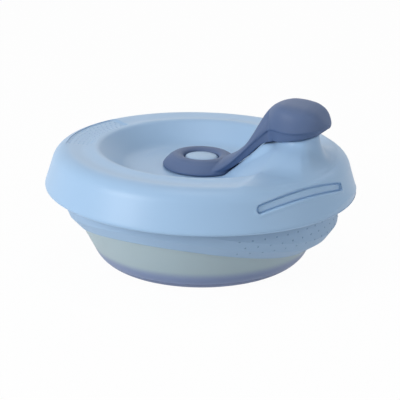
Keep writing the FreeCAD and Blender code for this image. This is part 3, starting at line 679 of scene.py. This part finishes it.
TIP_SECTIONS, TIP_TURN = 40, 88.0
SECTION_POINTS = 33

# Ring, button, plug and the room for the spout's mouth: radius and height in the lid's frame
RING = [
    (7.9, 8.5), (7.9, 12.9), (8.3, 13.5), (9.3, 14.0), (11.0, 14.3), (12.8, 13.9), (14.6, 12.7), (16.2, 11.0),
    (17.2, 9.7), (17.3, 9.1), (16.9, 8.5), (7.9, 8.5),
]
BUTTON = [
    (0.0, 13.45), (4.0, 13.4), (6.4, 13.2), (7.1, 12.9), (7.4, 12.4), (7.35, 11.9), (6.9, 11.5), (4.1, 11.2),
    (4.0, 10.8), (4.0, 7.2), (0.0, 7.2),
]
PLUG = [(0.0, 25.9), (3.6, 25.9), (4.1, 26.3), (5.0, 28.2), (5.0, 30.2), (0.0, 30.2)]
MOUTH_ROOM = [(0.0, 5.0), (9.4, 5.0), (9.4, 28.3), (0.0, 28.3)]
RING_SIDES, BUTTON_SIDES, PLUG_SIDES, MOUTH_SIDES = 96, 72, 48, 64

# Soft moulding, and where it bends
SOFT_VOXEL = 0.32
SOFT_SHARE, SOFT_ROUNDS = 0.5, 6


def half_chord(x, middle, radius):
    """Half the width of a round plate at x."""
    return np.sqrt(np.maximum(radius ** 2 - (x - middle) ** 2, 0.0))


def tether_loft():
    """The strap and the cap as one loft of upright sections: domed above a crease, tapered below it."""
    tip = HEAD_X + HEAD_RADIUS * np.sin(np.radians(np.linspace(0.0, TIP_TURN, TIP_SECTIONS)))
    x = np.concatenate([np.arange(STRAP_START, HEAD_X, LOFT_STEP), tip])
    head = half_chord(x, HEAD_X, HEAD_RADIUS)
    strap = line_at(STRAP_WIDTHS, x)
    fillet = HEAD_FILLET * smooth_step(*HEAD_FILLET_SPAN, x) + HEAD_FILLET_LEAST
    wide = np.where(x < HEAD_X, smooth_max(strap, head, fillet), head)
    under = half_chord(x, UNDER_X, UNDER_RADIUS)
    tapered = np.minimum(smooth_max(UNDER_STRAP * strap, under, UNDER_FILLET), UNDER_MOST * wide)
    narrow = np.where(x < UNDER_X, tapered, under)
    top, crease, low = (line_at(p, x) for p in (TETHER_TOP, TETHER_CREASE, TETHER_UNDER))
    rise = HEAD_FULLNESS - STRAP_FULLNESS
    fullness = 2.0 / (STRAP_FULLNESS + rise * smooth_step(*FULLNESS_SPAN, x))
    lip = LIP_DEPTH * (LIP_STRAP + (1.0 - LIP_STRAP) * smooth_step(*LIP_SPAN, x))
    arc = np.linspace(0.0, math.pi, SECTION_POINTS)
    c, s = np.cos(arc), np.sin(arc)
    points, faces = [], []
    for k in range(len(x)):
        y = np.sign(c) * np.abs(c) ** fullness[k] * wide[k]
        z = crease[k] + np.abs(s) ** fullness[k] * (top[k] - crease[k])
        points.extend((x[k], a, b) for a, b in zip(y, z))
        inset = max(wide[k] - lip[k], LIP_INNER * wide[k])
        ledge = max(crease[k] - LIP_DROP * lip[k], low[k])
        for side in (-1, 1):
            turn_in = [(side * inset, ledge), (side * narrow[k], low[k])]
            points.extend((x[k], a, b) for a, b in turn_in[::-side])
    size = len(arc) + 4
    for k in range(len(x) - 1):
        for j in range(size):
            n = (j + 1) % size
            faces.append((k * size + j, k * size + n, (k + 1) * size + n, (k + 1) * size + j))
    faces.append(tuple(range(size - 1, -1, -1)))
    faces.append(tuple((len(x) - 1) * size + j for j in range(size)))
    return MM * np.array(points), faces


def turned(outline, middle_x, count, lean=0.0):
    """Points and faces of an outline (radius, height) turned about an upright axis of the lid."""
    turns = np.radians(np.arange(count) * 360.0 / count)
    points = [
        (middle_x + r * math.cos(t), r * math.sin(t), z + lean * r * math.cos(t) * (z > LEAN_ABOVE))
        for r, z in outline for t in turns]
    faces = []
    for i in range(len(outline) - 1):
        for k in range(count):
            n = (k + 1) % count
            faces.append((i * count + k, i * count + n, (i + 1) * count + n, (i + 1) * count + k))
    return lid_to_world(points), faces


def plain_object(name, points, faces):
    """A helper object with outward faces, for modifiers."""
    helper = bpy.data.objects.new(name, merged_mesh(name, points, faces, HELPER_GAP, outward=True))
    bpy.context.collection.objects.link(helper)
    return helper


def settled(helper):
    """The mesh of a helper with its modifiers applied. The helper goes."""
    seen = helper.evaluated_get(bpy.context.evaluated_depsgraph_get())
    mesh = bpy.data.meshes.new_from_object(seen)
    bpy.data.objects.remove(helper)
    return mesh


def build_tether(material):
    """Ring, strap and cap as the one soft moulding that they are."""
    blank = plain_object("tether_blank", *tether_loft())
    mouth = plain_object("mouth_room", *turned(MOUTH_ROOM, SPOUT_X, MOUTH_SIDES, MOUTH_SLOPE))
    cut = blank.modifiers.new("room_for_mouth", "BOOLEAN")
    cut.operation = "DIFFERENCE"
    cut.solver = "EXACT"
    cut.object = mouth
    mesh = settled(blank)
    bpy.data.objects.remove(mouth)
    shape = bmesh.new()
    shape.from_mesh(mesh)
    for points, faces in (turned(RING, 0.0, RING_SIDES), turned(PLUG, SPOUT_X, PLUG_SIDES, MOUTH_SLOPE)):
        spots = [shape.verts.new(p) for p in points]
        for face in faces:
            shape.faces.new([spots[v] for v in face])
    bmesh.ops.remove_doubles(shape, verts=shape.verts, dist=MERGE_GAP)
    shape.to_mesh(mesh)
    shape.free()
    blank = bpy.data.objects.new("tether_blank", mesh)
    bpy.context.collection.objects.link(blank)
    remesh = blank.modifiers.new("one_moulding", "REMESH")
    remesh.mode = "VOXEL"
    remesh.voxel_size = SOFT_VOXEL * MM
    soften = blank.modifiers.new("soft_edges", "SMOOTH")
    soften.factor = SOFT_SHARE
    soften.iterations = SOFT_ROUNDS
    tether = link_piece("tethered_cap", settled(blank), material, sharp=SMOOTH_ALL)
    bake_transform(tether)
    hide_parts("tether_ring", "spout_cap")
    return tether


def build_button(material):
    """The low round button that the ring is held by."""
    blank = plain_object("button_blank", *turned(BUTTON, 0.0, BUTTON_SIDES))
    button = link_piece("ring_button", settled(blank), material)
    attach(button, "lid")
    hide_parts("tether_button")
    return button


# Dots of the thumb pad and of the grip band: the sizes that their geometry nodes take
DOT_INPUTS = {
    "Columns": "NodeSocketInt", "Rows": "NodeSocketInt", "Turn span": "NodeSocketFloat",
    "Row span": "NodeSocketFloat", "Middle turn": "NodeSocketFloat", "Middle reach": "NodeSocketFloat",
    "Middle height": "NodeSocketFloat", "Upright": "NodeSocketFloat", "Stagger": "NodeSocketFloat",
    "Ray length": "NodeSocketFloat", "Dot radius": "NodeSocketFloat", "Dot flatness": "NodeSocketFloat",
    "Surface": "NodeSocketObject", "Finish": "NodeSocketMaterial",
}
THUMB_DOTS = {
    "Columns": 15, "Rows": 6, "Turn span": math.radians(42.0), "Row span": 9.6 * MM,
    "Middle turn": math.pi, "Middle reach": 54.6 * MM, "Middle height": 70.0 * MM,
    "Upright": 0.0, "Stagger": 0.5, "Ray length": 40.0 * MM, "Dot radius": 0.45 * MM, "Dot flatness": 0.42,
}
BAND_DOTS = {
    "Columns": 20, "Rows": 4, "Turn span": math.radians(100.0), "Row span": 9.6 * MM,
    "Middle turn": math.radians(-3.0), "Middle reach": 80.0 * MM, "Middle height": 26.0 * MM,
    "Upright": 1.0, "Stagger": 0.5, "Ray length": 25.0 * MM, "Dot radius": 0.42 * MM, "Dot flatness": 0.3,
}
DOT_CAPTURES = {
    "Spot": ("VECTOR", "Hit Position"), "Normal": ("VECTOR", "Hit Normal"), "Hit": ("BOOLEAN", "Is Hit"),
}
DOT_SEGMENTS, DOT_RINGS = 8, 4


def dot_tree():
    """Geometry nodes: rows of low dots laid round the axis and dropped onto a surface."""
    tree = bpy.data.node_groups.new("rows_of_dots", "GeometryNodeTree")
    tree.interface.new_socket("Geometry", in_out="INPUT", socket_type="NodeSocketGeometry")
    for name, kind in DOT_INPUTS.items():
        tree.interface.new_socket(name, in_out="INPUT", socket_type=kind)
    tree.interface.new_socket("Geometry", in_out="OUTPUT", socket_type="NodeSocketGeometry")
    w = Wiring(tree)
    enter = w.node("NodeGroupInput").outputs
    grid = w.node("GeometryNodeMeshGrid", {
        "Size X": enter["Turn span"], "Size Y": enter["Row span"],
        "Vertices X": enter["Columns"], "Vertices Y": enter["Rows"]})
    apart = w.node("ShaderNodeSeparateXYZ", {0: w.node("GeometryNodeInputPosition").outputs[0]})
    across, along = apart.outputs["X"], apart.outputs["Y"]

    row_gap = w.math("DIVIDE", enter["Row span"], w.math("SUBTRACT", enter["Rows"], 1.0))
    column_gap = w.math("DIVIDE", enter["Turn span"], w.math("SUBTRACT", enter["Columns"], 1.0))
    half_span = w.math("MULTIPLY", enter["Row span"], 0.5)
    row = w.math("ROUND", w.math("DIVIDE", w.math("ADD", along, half_span), row_gap))
    shift = w.math("MULTIPLY", w.math("MULTIPLY", w.math("MODULO", row, 2.0), enter["Stagger"]), column_gap)
    turn = w.math("ADD", w.math("ADD", across, shift), enter["Middle turn"])
    level = w.math("SUBTRACT", 1.0, enter["Upright"])
    reach = w.math("ADD", enter["Middle reach"], w.math("MULTIPLY", along, level))
    height = w.math("ADD", enter["Middle height"], w.math("MULTIPLY", along, enter["Upright"]))
    cosine, sine = w.math("COSINE", turn), w.math("SINE", turn)
    place = w.node("ShaderNodeCombineXYZ", {
        "X": w.math("MULTIPLY", reach, cosine), "Y": w.math("MULTIPLY", reach, sine), "Z": height})
    inward = w.math("MULTIPLY", enter["Upright"], -1.0)
    aim = w.node("ShaderNodeCombineXYZ", {
        "X": w.math("MULTIPLY", cosine, inward), "Y": w.math("MULTIPLY", sine, inward),
        "Z": w.math("MULTIPLY", level, -1.0)})

    surface = w.node("GeometryNodeObjectInfo", {"Object": enter["Surface"]})
    ray = w.node("GeometryNodeRaycast", {
        "Target Geometry": surface.outputs["Geometry"], "Source Position": place.outputs[0],
        "Ray Direction": aim.outputs[0], "Ray Length": enter["Ray length"]})
    keep = w.node("GeometryNodeCaptureAttribute", {"Geometry": grid.outputs["Mesh"]}, domain="POINT")
    for name, (kind, found) in DOT_CAPTURES.items():
        keep.capture_items.new(kind, name)
        w.join(ray.outputs[found], keep.inputs[name])
    settle = w.node("GeometryNodeSetPosition", {
        "Geometry": keep.outputs["Geometry"], "Position": keep.outputs["Spot"]})

    dot = w.node("GeometryNodeMeshUVSphere", {
        "Segments": DOT_SEGMENTS, "Rings": DOT_RINGS, "Radius": enter["Dot radius"]})
    smooth = w.node("GeometryNodeSetShadeSmooth", {"Geometry": dot.outputs["Mesh"]})
    lean = w.node("FunctionNodeAlignRotationToVector", {"Vector": keep.outputs["Normal"]}, axis="Z")
    size = w.node("ShaderNodeCombineXYZ", {"X": 1.0, "Y": 1.0, "Z": enter["Dot flatness"]})
    spread = w.node("GeometryNodeInstanceOnPoints", {
        "Points": settle.outputs["Geometry"], "Selection": keep.outputs["Hit"],
        "Instance": smooth.outputs["Geometry"], "Rotation": lean.outputs["Rotation"],
        "Scale": size.outputs[0]})
    real = w.node("GeometryNodeRealizeInstances", {"Geometry": spread.outputs["Instances"]})
    paint = w.node("GeometryNodeSetMaterial", {
        "Geometry": real.outputs["Geometry"], "Material": enter["Finish"]})
    w.node("NodeGroupOutput", {"Geometry": paint.outputs["Geometry"]})
    return tree


def build_dots(name, tree, sizes, surface, finish, body):
    """One field of dots on a surface, as a plain mesh."""
    blank = bpy.data.objects.new(name + "_blank", bpy.data.meshes.new(name + "_blank"))
    bpy.context.collection.objects.link(blank)
    field = blank.modifiers.new("dots", "NODES")
    field.node_group = tree
    sockets = {s.name: s.identifier for s in tree.interface.items_tree if s.in_out == "INPUT"}
    for key, value in sizes.items():
        field[sockets[key]] = value
    field[sockets["Surface"]] = surface
    field[sockets["Finish"]] = finish
    piece = bpy.data.objects.new(name, settled(blank))
    bpy.context.collection.objects.link(piece)
    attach(piece, body)
    return piece


# Finishes by slot: name, tint, shade, least and most roughness, size of clouds, size and relief of grain
FINISHES = {
    "lid_blue": ("lid_satin_plastic", (166, 198, 230), (160, 192, 224), (0.33, 0.41), 40.0, 2600.0, 0.12),
    "cap_blue": ("cap_soft_silicone", (94, 113, 149), (88, 107, 142), (0.5, 0.6), 60.0, 2400.0, 0.2),
    "band_blue": ("band_soft_rubber", (158, 187, 216), (151, 180, 210), (0.5, 0.62), 50.0, 2200.0, 0.2),
    "pad_blue": ("pad_soft_rubber", (112, 128, 165), (104, 120, 158), (0.5, 0.62), 50.0, 2200.0, 0.2),
    "seal_pale": ("seal_silicone", (220, 224, 226), (212, 217, 220), (0.45, 0.55), 50.0, 2200.0, 0.2),
    "bowl_frosted": (
        "bowl_frosted_plastic", (201, 221, 228), (193, 214, 222), (0.42, 0.52), 35.0, 2000.0, 0.15),
    # Dots of the grip band: a darker colour, painted shade standing in for the shadowed hollows of the band's
    # dimples
    "band_dots": ("band_dimple_painted_shade", (134, 163, 194), (128, 157, 188), (0.55, 0.65), 50.0, 2200.0, 0.2),
}
SOFT_SHINE = 0.3
FROSTED_TRANSMISSION, FROSTED_IOR = 0.35, 1.46
CLOUD_DETAIL = 3.0
GRAIN_DETAIL, GRAIN_ROUGHNESS, GRAIN_RANGE = 2.0, 0.6, (0.3, 0.7)
GRAIN_DEPTH = 0.05 * MM
SURFACE_INPUTS = {
    "Tint": "NodeSocketColor", "Shade": "NodeSocketColor", "Cloud size": "NodeSocketFloat",
    "Grain size": "NodeSocketFloat", "Gloss low": "NodeSocketFloat", "Gloss high": "NodeSocketFloat",
}
SURFACE_OUTPUTS = {"Color": "NodeSocketColor", "Roughness": "NodeSocketFloat", "Height": "NodeSocketFloat"}
# Painted see-through colour: the wall turns darker and bluer towards the bowl's foot, fading out between
# these heights
PAINTED_PAD_THROUGH_WALL = (150, 170, 212)
FOOT_LOW, FOOT_HIGH = 6.5 * MM, 11.0 * MM


def srgb(red, green, blue):
    """A colour as it is seen, in 0 to 255, as the shader's numbers."""
    def linear(c):
        c /= 255.0
        return c / 12.92 if c <= 0.04045 else ((c + 0.055) / 1.055) ** 2.4
    return (linear(red), linear(green), linear(blue), 1.0)


def moulded_group():
    """Node group shared by the moulded finishes: a cloudy tint, a fine grain and an uneven gloss."""
    group = bpy.data.node_groups.new("moulded_surface", "ShaderNodeTree")
    for name, kind in SURFACE_INPUTS.items():
        group.interface.new_socket(name, in_out="INPUT", socket_type=kind)
    for name, kind in SURFACE_OUTPUTS.items():
        group.interface.new_socket(name, in_out="OUTPUT", socket_type=kind)
    w = Wiring(group)
    enter = w.node("NodeGroupInput").outputs
    where = w.node("ShaderNodeTexCoord").outputs["Object"]
    cloud = w.node("ShaderNodeTexNoise", {
        "Vector": where, "Scale": enter["Cloud size"], "Detail": CLOUD_DETAIL})
    grain = w.node("ShaderNodeTexNoise", {
        "Vector": where, "Scale": enter["Grain size"],
        "Detail": GRAIN_DETAIL, "Roughness": GRAIN_ROUGHNESS})
    tint = w.node("ShaderNodeMix", {
        "Factor": cloud.outputs["Fac"], "A": enter["Tint"], "B": enter["Shade"]}, data_type="RGBA")
    gloss = w.node("ShaderNodeMapRange", {
        "Value": grain.outputs["Fac"], "From Min": GRAIN_RANGE[0], "From Max": GRAIN_RANGE[1],
        "To Min": enter["Gloss low"], "To Max": enter["Gloss high"]})
    w.node("NodeGroupOutput", {
        "Color": tint.outputs["Result"], "Roughness": gloss.outputs["Result"],
        "Height": grain.outputs["Fac"]})
    return group


def moulded(group, name, tint, shade, gloss, cloud, grain, relief):
    """A moulded finish from the shared group, with its own tint, gloss and grain, and its shader."""
    finish, w, base = new_finish(name)
    skin = w.node("ShaderNodeGroup", {
        "Tint": srgb(*tint), "Shade": srgb(*shade), "Cloud size": cloud, "Grain size": grain,
        "Gloss low": gloss[0], "Gloss high": gloss[1]}, node_tree=group)
    bump = w.node("ShaderNodeBump", {
        "Strength": relief, "Distance": GRAIN_DEPTH, "Height": skin.outputs["Height"]})
    w.join(skin.outputs["Color"], base.inputs["Base Color"])
    w.join(skin.outputs["Roughness"], base.inputs["Roughness"])
    w.join(bump.outputs["Normal"], base.inputs["Normal"])
    return finish, base


def paint_pad_through_wall(finish, base):
    """Painted see-through: the pad's darker blue, seen through the frosted wall, painted into the wall's
    colour near the foot.
    """
    w = Wiring(finish.node_tree)
    apart = w.node("ShaderNodeSeparateXYZ", {0: w.node("ShaderNodeTexCoord").outputs["Object"]})
    fade = w.node("ShaderNodeMapRange", {
        "Value": apart.outputs["Z"], "From Min": FOOT_LOW, "From Max": FOOT_HIGH,
    }, interpolation_type="SMOOTHSTEP")
    plain = base.inputs["Base Color"].links[0].from_socket
    blend = w.node("ShaderNodeMix", {
        "Factor": fade.outputs["Result"], "A": srgb(*PAINTED_PAD_THROUGH_WALL), "B": plain}, data_type="RGBA")
    w.join(blend.outputs["Result"], base.inputs["Base Color"])


def make_finishes():
    """All finishes of the bowl, by the record's slot names, and that of the band's dots."""
    group = moulded_group()
    made = {slot: moulded(group, *row) for slot, row in FINISHES.items()}
    for slot in ("lid_blue", "cap_blue"):
        made[slot][1].inputs["Specular IOR Level"].default_value = SOFT_SHINE
    bowl, base = made["bowl_frosted"]
    base.inputs["Transmission Weight"].default_value = FROSTED_TRANSMISSION
    base.inputs["IOR"].default_value = FROSTED_IOR
    # Painted see-through blue of the pad, darker towards the bowl's foot
    paint_pad_through_wall(bowl, base)
    return {slot: finish for slot, (finish, _) in made.items()}


def dress_nodes(finishes):
    """Finishes for the CAD nodes that stay."""
    slots = {row["node"]: row["material_slot"] for row in frame["record"]["subparts"]}
    for name in ("bowl", "base_pad", "grip_band", "rim_seal"):
        mesh = frame["nodes"][name].data
        mesh.materials.clear()
        mesh.materials.append(finishes[slots[name]])


set_camera()
set_light()
add_floor()
finishes = make_finishes()
dress_nodes(finishes)
lid = build_lid(finishes["lid_blue"])
build_button(finishes["lid_blue"])
build_tether(finishes["cap_blue"])
dots = dot_tree()
build_dots("thumb_dots", dots, THUMB_DOTS, lid, finishes["lid_blue"], "lid")
band = frame["nodes"]["grip_band"]
# The band's dots take the darker finish: painted shade of the dimples' hollows
build_dots("band_dots", dots, BAND_DOTS, band, finishes["band_dots"], "bowl")
